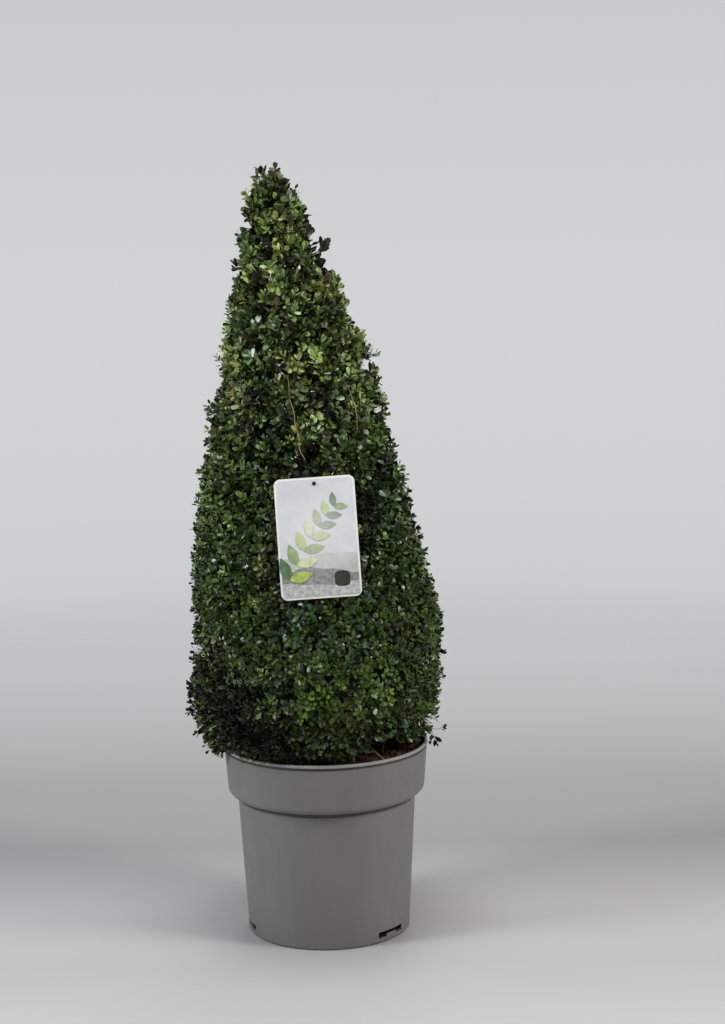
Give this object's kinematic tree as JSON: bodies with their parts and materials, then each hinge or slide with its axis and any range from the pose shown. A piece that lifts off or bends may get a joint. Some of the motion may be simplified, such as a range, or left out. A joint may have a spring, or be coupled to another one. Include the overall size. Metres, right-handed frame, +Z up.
{
  "type": "boxwood cone topiary",
  "caption": "Boxwood shrub clipped to a slightly leaning cone of small dense leaves, in a round tapered nursery pot, with a card label leaning on its front.",
  "frame": {"origin": "centre of the pot's flat underside, where it stands on the floor", "axes": "+Z up through the plant, +X to the right and -Y to the front, the side with the label"},
  "size_m": [0.3425, 0.3371, 1.008],
  "materials": {
    "foliage": "matte",
    "young_foliage": "matte",
    "bark": "matte",
    "soil": "matte",
    "pot_plastic": "satin",
    "label_card": "satin"
  },
  "bodies": {
    "root": {"pot": "pot_plastic", "root_ball": "soil", "trunk": "bark", "bough_front_left": "bark", "bough_front_right": "bark", "bough_right": "bark", "bough_back": "bark", "bough_left": "bark", "foliage_skirt_right": "foliage", "foliage_skirt_back": "foliage", "foliage_skirt_left": "foliage", "foliage_skirt_front": "foliage", "foliage_lower_right": "foliage", "foliage_lower_left": "foliage", "foliage_lower_front": "foliage", "foliage_middle_back": "foliage", "foliage_middle_left": "foliage", "foliage_middle_right": "foliage", "foliage_upper_right": "foliage", "foliage_upper_left": "foliage", "foliage_neck_left": "young_foliage", "foliage_neck_shoulder": "young_foliage", "foliage_top": "young_foliage", "tag": "label_card"}
  },
  "joints": []
}
